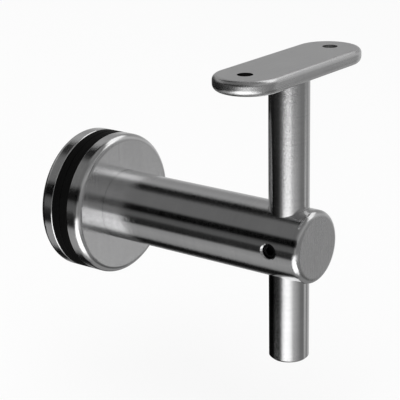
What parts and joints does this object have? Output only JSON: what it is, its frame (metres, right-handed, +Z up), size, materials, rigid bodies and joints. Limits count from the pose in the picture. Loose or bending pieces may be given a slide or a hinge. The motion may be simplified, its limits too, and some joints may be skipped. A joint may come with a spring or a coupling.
{
  "type": "handrail bracket",
  "caption": "Round steel handrail bracket that clamps through a glass panel and carries a flat saddle on a stem of adjustable height.",
  "frame": {"origin": "where the disc axis meets the glass: the face of the front gasket", "axes": "+X out of the glass along the arm, Y along the handrail, +Z up"},
  "size_m": [0.089, 0.06, 0.091],
  "materials": {
    "plate_steel": "brushed along its length, edges rounded",
    "turned_steel": "satin, finely brushed round the bar",
    "disc_steel": "satin turned face and rim, outer edge rounded",
    "screw_steel": "plain machined",
    "black_steel": "black oxide",
    "gasket_rubber": "matt black, moulded",
    "sleeve_plastic": "natural nylon"
  },
  "bodies": {
    "arm": {"bracket_arm": "turned_steel", "front_disc": "disc_steel", "front_gasket": "gasket_rubber", "glass_sleeve": "sleeve_plastic"},
    "stem": {"height_stem": "turned_steel", "saddle_plate": "plate_steel"},
    "set_screw": {"height_set_screw": "black_steel"},
    "back_clamp": {"back_disc": "disc_steel", "back_gasket": "gasket_rubber"},
    "clamp_bolt": {"clamp_screw": "screw_steel"}
  },
  "joints": [
    {"name": "height_slide", "type": "slide", "parent": "arm", "child": "stem", "axis": [0, 0, 1], "range_m": [-0.0385, 0.025]},
    {"name": "set_screw_travel", "type": "slide", "parent": "arm", "child": "set_screw", "axis": [0, -1, 0], "range_m": [0, 0.0016]},
    {"name": "back_clamp_slide", "type": "slide", "parent": "arm", "child": "back_clamp", "axis": [-1, 0, 0], "range_m": [0, 0.0125]},
    {"name": "clamp_screw_turn", "type": "hinge", "parent": "back_clamp", "child": "clamp_bolt", "pos_m": [-0.0078, 0, 0], "axis": [-1, 0, 0], "range_deg": [0, 3600]}
  ],
  "couplings": [
    {"joint": "clamp_screw_turn", "follows": "back_clamp_slide", "rad_per_m": 5026.5}
  ]
}
